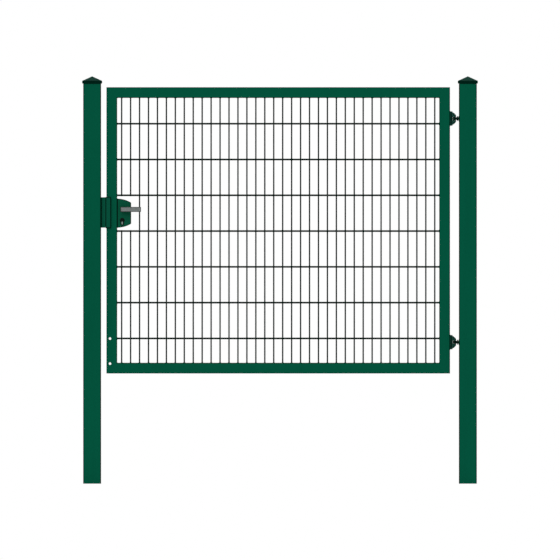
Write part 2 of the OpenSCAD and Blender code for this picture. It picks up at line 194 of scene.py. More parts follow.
def card(red, green, blue):
    """Linear colour of a paint card, given as it shows on a screen, each part from 0 to 255."""
    parts = []
    for part in (red / 255, green / 255, blue / 255):
        parts.append(part / 12.92 if part < 0.04045 else ((part + 0.055) / 1.055) ** 2.4)
    return (*parts, 1)


def set_sky():
    """Pale even light; the camera, gloss and glass see it as white."""
    world = bpy.data.worlds.new("studio")
    bpy.context.scene.world = world
    world.use_nodes = True
    graph = Graph(world.node_tree)
    world.node_tree.nodes.clear()
    rays = world.node_tree.nodes.new("ShaderNodeLightPath").outputs
    seen = Value(graph, rays["Is Camera Ray"]) + Value(graph, rays["Is Glossy Ray"])
    seen = seen + Value(graph, rays["Is Transmission Ray"])
    strength = graph.spread(seen, 0, 1, SKY_STRENGTH, 1)
    light = graph.node("ShaderNodeBackground", inputs={"Color": (1, 1, 1, 1), "Strength": strength})
    graph.node("ShaderNodeOutputWorld", inputs={"Surface": light})


def lay_floor():
    """Wide pale floor under the posts' feet."""
    mesh = bpy.data.meshes.new("floor")
    corners = [(x * FLOOR_REACH, y * FLOOR_REACH, 0) for x, y in ((-1, -1), (1, -1), (1, 1), (-1, 1))]
    mesh.from_pydata(corners, [], [(0, 1, 2, 3)])
    floor = add_object("floor", mesh)
    plaster = Finish("floor_plaster")
    pale = (0.86, 0.86, 0.86, 1)
    mesh.materials.append(plaster.set(Base_Color=pale, Roughness=0.9, Specular_IOR_Level=0.1))


# Finishes

class Finish(Graph):
    """A material, with what every finish of this gate starts from."""

    def __init__(self, name):
        self.material = bpy.data.materials.new(name)
        self.material.use_nodes = True
        super().__init__(self.material.node_tree)
        self.shader = self.tree.nodes["Principled BSDF"]
        self.place = self.node("ShaderNodeTexCoord", out=3)
        # The edge marks, where the finishes paint shade along edges and seams.
        self.rim = self.node("ShaderNodeAttribute", {"attribute_name": "edge"}, out=2)

    def noise(self, scale, detail=2.0, stretch=(1, 1, 1), shift=(0, 0, 0), roughness=0.5):
        """Cloudy pattern from 0 to 1 over the piece, with its mean at 0.5."""
        mapping = {"Vector": self.place, "Scale": stretch, "Location": shift}
        place = self.node("ShaderNodeMapping", inputs=mapping)
        inputs = {"Vector": place, "Scale": scale, "Detail": detail, "Roughness": roughness}
        return self.node("ShaderNodeTexNoise", inputs=inputs)

    def upward(self):
        """1 on faces that look up, where dust settles, and 0 on upright ones."""
        normal = self.node("ShaderNodeNewGeometry", out=1)
        height = self.node("ShaderNodeSeparateXYZ", inputs={0: normal}, out=2)
        return self.spread(height, 0.35, 0.95)

    def shade(self, colour, depth, pattern):
        """Colour made lighter and darker by up to depth with a pattern."""
        level = self.spread(pattern, 0.25, 0.75, 1 - depth, 1 + depth)
        grey = self.node("ShaderNodeCombineColor", inputs={0: level, 1: level, 2: level})
        return self.blend(1.0, colour, grey, "MULTIPLY")

    def set(self, **values):
        """Sets or links the shader's sockets, named with underscores for spaces."""
        for name, value in values.items():
            self.feed(self.shader.inputs[name.replace("_", " ")], value)
        return self.material

    def relief(self, *layers):
        """Normal with bumps: each layer is a pattern, its height in metres and its strength."""
        normal = None
        for pattern, height, strength in layers:
            inputs = {"Height": pattern, "Distance": height, "Strength": strength}
            if normal:
                inputs["Normal"] = normal
            normal = self.node("ShaderNodeBump", inputs=inputs)
        return normal


def powder_coat(name, colour, edge_shade_colour, gloss=0.46, dusting=0.05, speckle=0.03, shine=0.02):
    """Baked paint on steel: a fine orange peel, faint runs, dust on what looks up, and painted shade along edges
    and seams.
    """
    finish = Finish(name)
    clouds = finish.noise(2.1, 3, shift=(3, 5, 1))
    runs = finish.noise(1.0, 4, stretch=(38, 38, 1.6))
    grains = finish.noise(420, 2)
    peel = finish.noise(260, 2, shift=(7, 2, 4))
    scuffs = finish.noise(36, 6, stretch=(1, 1, 2.5), roughness=0.7)
    paint = finish.shade(colour, 0.045, clouds)
    paint = finish.shade(paint, 0.035, runs)
    paint = finish.shade(paint, speckle, grains)
    # Painted shade along edges and seams, varied a little by the scuff pattern.
    edge = finish.rim * finish.spread(scuffs, 0.2, 0.5, 0.72, 1.0)
    paint = finish.blend(edge, paint, edge_shade_colour)
    dust = finish.upward() * finish.spread(scuffs, 0.3, 0.7, 0.4 * dusting, dusting)
    paint = finish.blend(dust, paint, card(168, 166, 156))
    rough = finish.spread(clouds, 0.3, 0.7, gloss - 0.05, gloss + 0.06) + scuffs * 0.06 + dust * 0.3
    normal = finish.relief((scuffs, 0.08 * MM, 0.25), (peel, 0.05 * MM, 0.35))
    return finish.set(Base_Color=paint, Roughness=rough, Normal=normal, Specular_IOR_Level=shine)


def metal(name, colour, stain_and_edge_shade, grain, gloss=0.34, metallic=1.0):
    """Bare or plated metal with fine brush marks along the grain, small stains, and painted shade along its edges.
    """
    finish = Finish(name)
    brush = finish.noise(90, 4, stretch=grain, roughness=0.65)
    stain = finish.noise(55, 5, shift=(1, 8, 3), roughness=0.6)
    pits = finish.noise(900, 1)
    skin = finish.shade(colour, 0.07, brush)
    skin = finish.blend(finish.spread(stain, 0.5, 0.8, 0, 0.35), skin, stain_and_edge_shade)
    # Painted shade along the edges, in the stains' dark colour.
    skin = finish.blend(finish.rim, skin, stain_and_edge_shade)
    rough = finish.spread(brush, 0.3, 0.7, gloss - 0.06, gloss + 0.08)
    rough = rough + finish.spread(stain, 0.5, 0.8, 0, 0.15)
    normal = finish.relief((brush, 0.03 * MM, 0.3), (pits, 0.02 * MM, 0.2))
    return finish.set(Base_Color=skin, Roughness=rough, Normal=normal, Metallic=metallic)


def moulded_plastic(name, colour, edge_shade_colour):
    """Dark moulded plastic with a fine spark grain, and painted shade along its edges."""
    finish = Finish(name)
    grain = finish.noise(1400, 2)
    rubbed = finish.noise(70, 5, shift=(4, 4, 9), roughness=0.6)
    skin = finish.shade(colour, 0.10, rubbed)
    # Painted shade along the edges, varied by the rubbed pattern.
    skin = finish.blend(finish.rim * finish.spread(rubbed, 0.3, 0.7, 0.5, 1.0), skin, edge_shade_colour)
    rough = finish.spread(rubbed, 0.3, 0.7, 0.5, 0.62)
    normal = finish.relief((grain, 0.04 * MM, 0.4))
    return finish.set(Base_Color=skin, Roughness=rough, Normal=normal, Specular_IOR_Level=0.08)


def weld_paint(name, colour, shade_blotch_colour):
    """Paint over a weld bead, blotched at random with a darker colour that is painted shade."""
    finish = Finish(name)
    spatter = finish.noise(300, 3, roughness=0.7)
    # Random blotches of painted shade.
    paint = finish.blend(finish.spread(spatter, 0.35, 0.7), shade_blotch_colour, colour)
    normal = finish.relief((spatter, 0.2 * MM, 0.5))
    rough = finish.spread(spatter, 0.3, 0.7, 0.45, 0.6)
    return finish.set(Base_Color=paint, Roughness=rough, Normal=normal, Specular_IOR_Level=0.02)


# Making pieces

def new_piece(name, shape):
    """An object with the mesh of a bmesh, which is freed."""
    mesh = bpy.data.meshes.new(name)
    shape.to_mesh(mesh)
    shape.free()
    return add_object(name, mesh)


def finished_mesh(piece):
    """The mesh that a piece's modifiers make."""
    evaluated = piece.evaluated_get(bpy.context.evaluated_depsgraph_get())
    return bpy.data.meshes.new_from_object(evaluated)


def apply_modifiers(piece):
    """Leaves the piece as a plain mesh, as its modifiers make it."""
    mesh = finished_mesh(piece)
    piece.modifiers.clear()
    piece.data = mesh


def combine(piece, operation, tools):
    """Cuts the tools out of a piece, joins them to it or keeps what they share, and removes the tools."""
    for tool in tools:
        modifier = piece.modifiers.new(operation, "BOOLEAN")
        modifier.operation = operation
        modifier.solver = "EXACT"
        modifier.object = tool
    apply_modifiers(piece)
    for tool in tools:
        bpy.data.objects.remove(tool)
    return piece


def soften(piece, width, segments=3, angle=30):
    """Rounds the edges that are sharper than an angle."""
    modifier = piece.modifiers.new("soften", "BEVEL")
    modifier.width = width
    modifier.segments = segments
    modifier.limit_method = "ANGLE"
    modifier.angle_limit = radians(angle)
    modifier.miter_outer = "MITER_ARC"
    apply_modifiers(piece)


def join(name, pieces):
    """One piece made of several, which keep their own shells."""
    whole = bmesh.new()
    for piece in pieces:
        whole.from_mesh(piece.data)
        bpy.data.objects.remove(piece)
    return new_piece(name, whole)


def set_edge_marks(mesh, marks):
    """Writes the vertex attribute by which the finishes paint shade along edges and seams."""
    attribute = mesh.attributes.new("edge", "FLOAT", "POINT")
    attribute.data.foreach_set("value", marks)


def mark_rounded(mesh, narrow, depth):
    """Edge marks, the strength of the painted edge shade: depth inside the rounded edges, whose faces are narrow,
    and 0 elsewhere.
    """
    shape = bmesh.new()
    shape.from_mesh(mesh)
    thin = {f for f in shape.faces if f.calc_area() < narrow * max(e.calc_length() for e in f.edges)}
    marks = [depth if all(f in thin for f in v.link_faces) else 0.0 for v in shape.verts]
    shape.free()
    set_edge_marks(mesh, marks)


def frame_faces(piece, reach):
    """Cuts a narrow border into the front and back faces, along their outline and holes, so that the painted edge
    shade reaches into them.
    """
    shape = bmesh.new()
    shape.from_mesh(piece.data)
    for way in (-1, 1):
        flat = [face for face in shape.faces if face.normal.y * way > SQUARE_ON]
        bmesh.ops.inset_region(shape, faces=flat, thickness=reach, use_boundary=True, use_even_offset=True)
    shape.to_mesh(piece.data)
    shape.free()


def dress(piece, body, slot, material, *nodes, narrow=0.0, depth=1.0, sharp=40):
    """Paints and shades a finished mesh, and seats it in the frame in place of its CAD nodes."""
    mesh = piece.data
    mesh.materials.clear()
    mesh.materials.append(material)
    mesh.polygons.foreach_set("material_index", [0] * len(mesh.polygons))
    mesh.polygons.foreach_set("use_smooth", [True] * len(mesh.polygons))
    if "edge" not in mesh.attributes:
        mark_rounded(mesh, narrow, depth)
    mesh.set_sharp_from_angle(angle=radians(sharp))
    modifier = piece.modifiers.new("flat_faces", "WEIGHTED_NORMAL")
    modifier.keep_sharp = True
    apply_modifiers(piece)
    piece.data.name = piece.name
    if nodes:
        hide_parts(*nodes)
    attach(piece, body)


def loft(name, rings, closed=False):
    """Skin through rings of points. Closed joins the last ring to the first; else the ends are filled."""
    shape = bmesh.new()
    loops = [[shape.verts.new(point) for point in ring] for ring in rings]
    following = loops[1:] + loops[:1] if closed else loops[1:]
    for near, far in zip(loops, following):
        for k in range(len(near)):
            shape.faces.new((near[k - 1], near[k], far[k], far[k - 1]))
    if not closed:
        shape.faces.new(loops[0])
        shape.faces.new(loops[-1])
    bmesh.ops.recalc_face_normals(shape, faces=shape.faces)
    if shape.calc_volume(signed=True) < 0:
        bmesh.ops.reverse_faces(shape, faces=shape.faces)
    return new_piece(name, shape)


def rounded_ring(half_w, half_h, radius, steps=4, shoulder=0.0):
    """Flat ring of points: a rectangle with round corners, its middle on the origin. With a shoulder, each
    flat side has a point that far from each corner too."""
    ring = []
    for quarter, (x, y) in enumerate(((1, 1), (-1, 1), (-1, -1), (1, -1))):
        centre = (x * (half_w - radius), y * (half_h - radius))
        corner = [Vector(point) for point in arc(centre, radius, 90 * quarter, 90 * (quarter + 1), steps)]
        if shoulder:
            turn = radians(90 * quarter)
            side = Vector((cos(turn), sin(turn)))
            corner.insert(0, corner[0] - side.orthogonal() * shoulder)
            corner.append(corner[-1] - side * shoulder)
        ring += corner
    return ring


def aim(point, direction):
    """Matrix that puts the origin at a point and turns +Z to a direction."""
    turn = Vector(direction).to_track_quat("Z", "Y")
    return Matrix.Translation(point) @ turn.to_matrix().to_4x4()


def turned(name, profile, point, direction, steps=40, closed=False):
    """Lathe-turned piece; its profile is distance along the axis and radius."""
    rings = []
    for along, radius in profile:
        rings.append([(x, y, along) for x, y in arc((0, 0), radius, 0, 360, steps)[:-1]])
    piece = loft(name, rings, closed)
    piece.data.transform(aim(point, direction))
    return piece


def block(name, low, high):
    """Square-edged piece from one corner to the other."""
    outline = [(low[0], low[2]), (high[0], low[2]), (high[0], high[2]), (low[0], high[2])]
    return loft(name, [[(x, y, z) for x, z in outline] for y in (low[1], high[1])])


def arc(centre, radius, start, end, steps):
    """Points of an arc, between two angles in degrees."""
    points = []
    for step in range(steps + 1):
        angle = radians(start + (end - start) * step / steps)
        points.append((centre[0] + radius * cos(angle), centre[1] + radius * sin(angle)))
    return points


# Geometry Nodes

class Growth(Graph):
    """A geometry tree with one named input for each size."""

    def __init__(self, name, **sizes):
        super().__init__(bpy.data.node_groups.new(name, "GeometryNodeTree"))
        sockets = [("Geometry", "INPUT", "Geometry")]
        sockets += [(size, "INPUT", kind) for size, kind in sizes.items()]
        sockets += [("Geometry", "OUTPUT", "Geometry")]
        for socket, way, kind in sockets:
            self.tree.interface.new_socket(socket, in_out=way, socket_type="NodeSocket" + kind)
        inputs = self.tree.nodes.new("NodeGroupInput")
        self.size = {socket.name: Value(self, socket) for socket in inputs.outputs if socket.name}

    def row(self, count, step, start=(0, 0, 0)):
        """Points in a straight row."""
        inputs = {"Count": count, "Start Location": start, "Offset": step}
        return self.node("GeometryNodeMeshLine", {"mode": "OFFSET"}, inputs)

    def line(self, end):
        """Straight curve from the origin to a point."""
        return self.node("GeometryNodeCurvePrimitiveLine", {"mode": "POINTS"}, {"End": end})

    def tube(self, curve, radius, sides):
        """Round bar with closed ends along a curve."""
        inputs = {"Resolution": sides, "Radius": radius}
        ring = self.node("GeometryNodeCurvePrimitiveCircle", {"mode": "RADIUS"}, inputs)
        inputs = {"Curve": curve, "Profile Curve": ring, "Fill Caps": True}
        return self.node("GeometryNodeCurveToMesh", inputs=inputs)

    def ball(self, sides, rings):
        """Ball with a radius of 1."""
        inputs = {"Segments": sides, "Rings": rings, "Radius": 1.0}
        return self.node("GeometryNodeMeshUVSphere", inputs=inputs)

    def scatter(self, points, piece, **placing):
        """A copy of a piece on each point."""
        inputs = {"Points": points, "Instance": piece, **placing}
        return self.node("GeometryNodeInstanceOnPoints", inputs=inputs)

    def varied(self, scale, least, most):
        """A scale that differs a little from copy to copy."""
        inputs = {0: (least, least, least), 1: (most, most, most), "Seed": self.size["Seed"]}
        vary = self.node("FunctionNodeRandomValue", {"data_type": "FLOAT_VECTOR"}, inputs)
        return self.node("ShaderNodeVectorMath", {"operation": "MULTIPLY"}, {0: scale, 1: vary})

    def end(self, geometry):
        """Makes the tree's copies real and gives them their material."""
        real = self.node("GeometryNodeRealizeInstances", inputs={0: geometry})
        material = bpy.data.materials["mesh_coat"]
        painted = self.node("GeometryNodeSetMaterial", inputs={"Geometry": real, "Material": material})
        self.node("NodeGroupOutput", inputs={0: painted})
        return self.tree


def bar_row_tree():
    """A row of equal straight round bars."""
    graph = Growth("bar_row", Count="Int", Start="Vector", Step="Vector", Run="Vector", Radius="Float")
    size = graph.size
    places = graph.row(size["Count"], size["Step"], size["Start"])
    bar = graph.tube(graph.line(size["Run"]), size["Radius"], sides=16)
    return graph.end(graph.scatter(places, bar))


def spot_grid_tree():
    """A grid of small weld spots of slightly different sizes."""
    graph = Growth("spot_grid", Columns="Int", Across="Vector", Rows="Int", Up="Vector", Start="Vector",
                   Spot="Vector", Seed="Int")
    size = graph.size
    columns = graph.row(size["Columns"], size["Across"])
    rows = graph.row(size["Rows"], size["Up"], size["Start"])
    grid = graph.node("GeometryNodeRealizeInstances", inputs={0: graph.scatter(rows, columns)})
    scale = graph.varied(size["Spot"], 0.88, 1.08)
    return graph.end(graph.scatter(grid, graph.ball(sides=8, rings=5), Scale=scale))


def weld_run_tree():
    """A rippled weld bead along each line of a curve."""
    graph = Growth("weld_run", Radius="Float", Pitch="Float", Seed="Int")
    size = graph.size
    inputs = {"Curve": size["Geometry"], "Length": size["Pitch"]}
    path = graph.node("GeometryNodeResampleCurve", {"mode": "LENGTH"}, inputs)
    tangent = graph.node("GeometryNodeInputTangent")
    turn = graph.node("FunctionNodeAlignRotationToVector", {"axis": "Z"}, {"Vector": tangent})
    thick = size["Radius"] * 0.75
    shape = graph.node("ShaderNodeCombineXYZ", inputs={0: size["Radius"], 1: size["Radius"], 2: thick})
    scale = graph.varied(shape, 0.9, 1.1)
    return graph.end(graph.scatter(path, graph.ball(sides=10, rings=6), Rotation=turn, Scale=scale))


def thread_tree():
    """Threaded rod along +Z: a core with a ridge that winds round it."""
    graph = Growth("thread", Radius="Float", Pitch="Float", Length="Float")
    radius, pitch, length = (graph.size[name] for name in ("Radius", "Pitch", "Length"))
    ridge = pitch * 0.34
    way = radius - ridge
    inputs = {"Resolution": 28, "Rotations": length / pitch, "Height": length,
              "Start Radius": way, "End Radius": way}
    winding = graph.tube(graph.node("GeometryNodeCurveSpiral", inputs=inputs), ridge, sides=6)
    top = graph.node("ShaderNodeCombineXYZ", inputs={2: length})
    core = graph.tube(graph.line(top), radius - pitch * 0.4, sides=28)
    both = graph.tree.nodes.new("GeometryNodeJoinGeometry")
    for part in (winding, core):
        graph.feed(both.inputs[0], part)
    return graph.end(Value(graph, both.outputs[0]))


def grow(name, tree, start=None, **sizes):
    """A plain piece that a geometry tree makes, from nothing or from a curve."""
    seed = start or add_object(name + "_start", bpy.data.meshes.new(name + "_start"))
    modifier = seed.modifiers.new("grow", "NODES")
    modifier.node_group = tree
    for item in tree.interface.items_tree:
        if item.in_out == "INPUT" and item.name in sizes:
            modifier[item.identifier] = sizes[item.name]
    mesh = finished_mesh(seed)
    bpy.data.objects.remove(seed)
    return add_object(name, mesh)


def weld_runs(name, tree, lines, radius, seed):
    """Weld beads along several lines of points."""
    curve = bpy.data.curves.new(name + "_path", "CURVE")
    curve.dimensions = "3D"
    for line in lines:
        spline = curve.splines.new("POLY")
        spline.points.add(len(line) - 1)
        for point, place in zip(spline.points, line):
            point.co = (*place, 1)
    path = add_object(name + "_path", curve)
    return grow(name, tree, path, Radius=radius, Pitch=radius * 0.9, Seed=seed)


# Posts and caps

def square_loft(name, node, sections, steps, closed=False):
    """Upright piece on a node's axis; each section is a square's half width, corner radius and height."""
    low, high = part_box(node)
    middle = (low + high) / 2
    rings = []
    for half, corner, z in sections:
        flat = rounded_ring(half, half, corner, steps)
        rings.append([(middle.x + x, middle.y + y, z) for x, y in flat])
    return loft(name, rings, closed)


def make_post(side, paint):
    """Square tube with round corners, open at both ends."""
    node = side + "_post"
    low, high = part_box(node)
    half = (high.x - low.x) / 2
    lip = 1.2 * MM
    bore, bore_corner = half - POST_WALL, POST_CORNER - POST_WALL
    sections = [(half - lip, POST_CORNER - lip, low.z), (half, POST_CORNER, low.z + lip),
                (half, POST_CORNER, high.z - lip), (half - lip, POST_CORNER - lip, high.z),
                (bore, bore_corner, high.z), (bore, bore_corner, low.z)]
    post = square_loft(node + "_tube", node, sections, 5, closed=True)
    dress(post, "posts", "green_paint", paint, node, narrow=2.2 * MM)


def make_cap(side, paint):
    """Pressed cap: a spigot in the tube, an upright rim and a low pyramid with a blunt tip."""
    node = side + "_post_cap"
    low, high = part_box(node)
    half = (high.x - low.x) / 2
    rim_low = low.z + CAP_SPIGOT
    rim_high = rim_low + CAP_RIM
    spigot, corner = half - 9.2 * MM, 3 * MM
    sections = [(spigot - 1.5 * MM, 2 * MM, low.z), (spigot, corner, low.z + 2 * MM),
                (spigot, corner, rim_low)]
    rim = [(3.4, rim_low, 0), (2.4, rim_low, 0.5), (0.5, rim_low, 2.4), (0, rim_low, 3.4),
           (0, rim_high, -1.2), (0.5, rim_high, -0.2), (1.6, rim_high, 0.6)]
    sections += [(half - inset * MM, corner, level + rise * MM) for inset, level, rise in rim]
    sections.append((half - 4 * MM, 2.5 * MM, rim_high + 1.7 * MM))
    for tip, tip_corner, drop in ((5, 1.5, 2.1), (2.5, 1.2, 1), (1, 0.6, 0)):
        sections.append((tip * MM, tip_corner * MM, high.z - drop * MM))
    cap = square_loft(side + "_post_hood", node, sections, 3)
    slope_start = rim_high + 1.2 * MM
    # Painted shade: the upright rim, below the slope, is marked whole, so the cap's finish darkens it.
    set_edge_marks(cap.data, [1.0 if v.co.z < slope_start else 0.0 for v in cap.data.vertices])
    dress(cap, "posts", "cap_paint", paint, node)


# Screws

def screw_places(node, way, head):
    """Middle of the face of each of a node's two screw heads, which look along +X, or -X with way -1."""
    low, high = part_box(node)
    x = high.x if way > 0 else low.x
    return [Vector((x, (low.y + high.y) / 2, z)) for z in (low.z + head, high.z - head)]


def countersink(plate, node, way, head, bore, slope, steps):
    """Cuts the holes for a node's two screws; bore and head are radii, and slope is the head's depth."""
    rim, through, past = head + SLIP, 8 * MM, 1 * MM
    profile = [(-through, bore), (-slope, bore), (0, rim), (past, rim)]
    places = screw_places(node, way, head)
    combine(plate, "DIFFERENCE", [turned("sink", profile, place, (way, 0, 0), steps) for place in places])


def add_screws(name, node, body, way, head, shank, zinc):
    """A node's two flat-headed screws, each with a hexagon socket."""
    low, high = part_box(node)
    length = high.x - low.x
    slope = head - shank
    profile = [(-length, shank * 0.7), (-length + shank * 0.5, shank), (-slope - 0.2 * MM, shank),
               (-0.5 * MM, head), (-0.1 * MM, head), (0, head - 0.3 * MM)]
    socket = [(-slope * 0.8, shank * 0.5), (1 * MM, shank * 0.5)]
    screws = []
    for place in screw_places(node, way, head):
        screw = turned("screw", profile, place, (way, 0, 0), 36)
        screws.append(combine(screw, "DIFFERENCE", [turned("socket", socket, place, (way, 0, 0), 6)]))
    dress(join(name, screws), body, "zinc_steel", zinc, node)


# Keep on the latch post

def make_keep(paint, zinc):
    """Channel folded from plate, screwed to the latch post, with the stop bar on its front flange."""
    low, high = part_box("keep_channel")
    bar_low, bar_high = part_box("stop_bar")
    web, lip, bend, front_bend, rear_bend = (size * MM for size in (4, 10, 3, 2, 1))
    flange = bar_high.y - bar_low.y
    outline = arc((low.x + bend, low.y + bend), bend, 180, 270, 5)
    outline += [(high.x, low.y), (high.x, low.y + flange)]
    outline += arc((low.x + web + front_bend, low.y + flange + front_bend), front_bend, 270, 180, 3)
    outline += arc((low.x + web + rear_bend, high.y - web - rear_bend), rear_bend, 180, 90, 2)
    outline += [(low.x + lip, high.y - web), (low.x + lip, high.y)]
    outline += arc((low.x + bend, high.y - bend), bend, 90, 180, 5)
    channel = loft("keep_plate", [[(x, y, z) for x, y in outline] for z in (low.z, high.z)])
    head, shank = 7.5 * MM, 4 * MM
    countersink(channel, "keep_screws", 1, head, shank, 3.6 * MM, 36)
    soften(channel, 1.6 * MM, angle=50)
    frame_faces(channel, 1.0 * MM)
    dress(channel, "posts", "keep_paint", paint, "keep_channel", narrow=1.8 * MM)
    bar = block("stop_plate", bar_low, bar_high)
    soften(bar, 2.4 * MM)
    frame_faces(bar, 3.4 * MM)
    dress(bar, "posts", "keep_paint", paint, "stop_bar", narrow=3.6 * MM)
    add_screws("keep_fixings", "keep_screws", "posts", 1, head, shank, zinc)


# Leaf frame

def frame_tube(name, corner, run, inward, length):
    """Mitred rectangular tube along a side of the leaf; corner is where its outer edge starts."""
    half_face = TUBE_FACE / 2
    half_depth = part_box("top_rail")[1].y
    rings = []
    for inset, at_end in ((0, False), (0, True), (TUBE_WALL, True), (TUBE_WALL, False)):
        ring = rounded_ring(half_face - inset, half_depth - inset, TUBE_CORNER - inset, shoulder=1.6 * MM)
        points = []
        for across, y in ring:
            from_edge = across + half_face
            along = length - from_edge if at_end else from_edge
            points.append(corner + run * along + inward * from_edge + Vector((0, y, 0)))
        rings.append(points)
    return loft(name, rings, closed=True)


def make_leaf_frame(paint):
    """Two rails and two stiles, mitred at the corners; the latch stile has two holes for a drop bolt."""
    left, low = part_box("latch_stile")[0].x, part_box("bottom_rail")[0].z
    right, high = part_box("hinge_stile")[1].x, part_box("top_rail")[1].z
    x, z = Vector((1, 0, 0)), Vector((0, 0, 1))
    width, height = right - left, high - low
    sides = [("bottom_rail", Vector((left, 0, low)), x, z, width),
             ("top_rail", Vector((left, 0, high)), x, -z, width),
             ("latch_stile", Vector((left, 0, low)), z, x, height),
             ("hinge_stile", Vector((right, 0, low)), z, -x, height)]
    for node, corner, run, inward, length in sides:
        tube = frame_tube(node + "_tube", corner, run, inward, length)
        if node == "latch_stile":
            combine(tube, "DIFFERENCE", drop_bolt_holes())
        dress(tube, "leaf", "green_paint", paint, node, narrow=1.8 * MM)


def drop_bolt_holes():
    """Cutters for the two holes through both faces of the latch stile, with their edges eased."""
    mount = next(mount for mount in frame["record"]["mounts"] if mount["name"] == "drop_bolt_holes")
    x, _, z = mount["pos_m"]
    rise = mount["dims"]["spacing_y_mm"] / 2 * MM
    radius = mount["dims"]["hole_r_mm"] * MM
    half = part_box("latch_stile")[1].y
    ease = 1.0 * MM
    profile = [(-half - ease, radius + 2 * ease), (-half + ease, radius), (half - ease, radius),
               (half + ease, radius + 2 * ease)]
    return [turned("hole", profile, Vector((x, 0, z + up)), (0, 1, 0), 32) for up in (-rise, rise)]


# Mesh

def make_mesh_panel(coat):
    """Double-rod mesh: upright wires between pairs of level rods, welded where they cross and end."""
    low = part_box("mesh_latch_side")[0]
    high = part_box("mesh_hinge_side")[1]
    width = high.x - low.x
    count = int(width / WIRE_PITCH)
    first_x = (low.x + high.x - (count - 1) * WIRE_PITCH) / 2
    case_low, case_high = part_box("lock_case")
    case_middle = (case_low.z + case_high.z) / 2
    below, above = case_middle - ROD_PITCH / 2, case_middle + ROD_PITCH / 2
    cut = 1 + int((case_high.x + WIRE_RADIUS - first_x) / WIRE_PITCH)
    lock_row = round((below - low.z) / ROD_PITCH - 0.5)
    first_row = below - lock_row * ROD_PITCH
    rows = int((high.z - 2 * ROD_RADIUS - first_row) / ROD_PITCH) + 1
    step, rise = (WIRE_PITCH, 0, 0), (0, 0, ROD_PITCH)
    rod_depths = (low.y + ROD_RADIUS, high.y - ROD_RADIUS)
    bars, spots = bar_row_tree(), spot_grid_tree()

    def wires(first, number, bottom, top):
        return grow("wires", bars, Count=number, Start=(first_x + first * WIRE_PITCH, 0, bottom), Step=step,
                    Run=(0, 0, top - bottom), Radius=WIRE_RADIUS)

    uprights = [wires(cut, count - cut, low.z, high.z), wires(0, cut, low.z, below),
                wires(0, cut, above, high.z)]
    dress(join("mesh_wires", uprights), "leaf", "mesh_paint", coat, "mesh_latch_side", "mesh_hinge_side")
    levels = [grow("rods", bars, Count=rows, Start=(low.x, y, first_row), Step=rise, Run=(width, 0, 0),
                   Radius=ROD_RADIUS) for y in rod_depths]
    dress(join("mesh_rods", levels), "leaf", "mesh_paint", coat)

    def welds(seed, place, spot, columns=count, across=step, rows=rows, up=rise):
        spot = tuple(size * MM for size in spot)
        return grow("spots", spots, Columns=columns, Across=across, Rows=rows, Up=up, Start=place, Spot=spot,
                    Seed=seed)

    beads = [welds(0, (first_x, -WIRE_RADIUS, first_row), (5.4, 3, 6.2)),
             welds(1, (first_x, WIRE_RADIUS, first_row), (5.4, 3, 6.2)),
             welds(4, (first_x, 0, low.z), (7, 7, 2.6), rows=2, up=(0, 0, high.z - low.z))]
    for seed, y in enumerate(rod_depths, 5):
        beads.append(welds(seed, (low.x, y, first_row), (2.8, 7.5, 8), columns=2, across=(width, 0, 0)))
    dress(join("mesh_welds", beads), "leaf", "mesh_paint", coat)


# Lock

def case_outline(low, high):
    """The case from the front: two straight sides, with a long curve above and below."""
    width = high.x - low.x
    middle = (low.z + high.z) / 2
    half = (high.z - low.z) / 2
    radius = (width ** 2 + CASE_DROP ** 2) / (2 * CASE_DROP)
    steps = 12
    top = []
    for step in range(steps + 1):
        across = width * step / steps
        top.append((low.x + across, sqrt(radius ** 2 - across ** 2) - radius + half))
    return [(x, middle + rise) for x, rise in top] + [(x, middle - rise) for x, rise in reversed(top)]


def make_case(paint):
    """Lock case with eased edges and a hole for the levers' necks."""
    low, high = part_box("lock_case")
    outline = case_outline(low, high)
    case = loft("case_shell", [[(x, y, z) for x, z in outline] for y in (low.y, high.y)])
    soften(case, 2.6 * MM, segments=4, angle=40)
    deep, bore = high.y + 1 * MM, NECK_RADIUS + SLIP
    neck = turned("neck_hole", [(-deep, bore), (deep, bore)], LEVER_TURN, (0, 1, 0))
    combine(case, "DIFFERENCE", [neck])
    frame_faces(case, 2.0 * MM)
    dress(case, "leaf", "case_paint", paint, "lock_case", narrow=2.2 * MM)


def key_ring(rim, y):
    """Key cylinder's outline at one depth: a round plug above a narrow lobe, grown all round by rim."""
    plug, lobe = PLUG_RADIUS + rim, LOBE_RADIUS + rim
    lobe_z = PLUG_RADIUS + LOBE_RADIUS - KEY_HEIGHT
    dip = degrees(acos(lobe / plug))
    flat = arc((0, 0), plug, -dip, 180 + dip, 28) + arc((0, lobe_z), lobe, 180, 360, 14)
    return [(KEY_AXIS.x + x, y, KEY_AXIS.z + z) for x, z in flat]


def make_key_plug(place, side, face, plastic):
    """Turning end of the key cylinder, with a keyway in its face."""
    profile = [(-3 * MM, 7.7 * MM), (-0.8 * MM, 7.7 * MM), (-0.2 * MM, 7.3 * MM), (0, 6.5 * MM)]
    plug = turned("key_plug_" + place, profile, face, (0, side, 0))
    slots = (((-1.1, -1.1, -5), (1.1, 1.1, 4)), ((0, -1.1, -2), (2.3, 1.1, 0.4)))
    keyway = [block("keyway", face + Vector(low) * MM, face + Vector(high) * MM) for low, high in slots]
    combine(plug, "DIFFERENCE", keyway)
    dress(plug, "leaf", "black_plastic", plastic, narrow=0.7 * MM)


def make_escutcheon(place, side, plastic):
    """Dark plate round the key cylinder, flat against the case."""
    node = "escutcheon_" + place
    low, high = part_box(node)
    back, front = (low.y, high.y) if side > 0 else (high.y, low.y)
    rim, inner = 5 * MM, 0.2 * MM
    rings = [key_ring(inner, back), key_ring(rim, back)]
    for inset, depth in ((0, 1.4), (0.5, 0.5), (1.4, 0)):
        rings.append(key_ring(rim - inset * MM, front - side * depth * MM))
    rings += [key_ring(0.9 * MM, front), key_ring(inner, front - side * 0.6 * MM)]
    plate = loft("key_plate_" + place, rings, closed=True)
    dress(plate, "leaf", "black_plastic", plastic, node, narrow=1.2 * MM, depth=0.8)


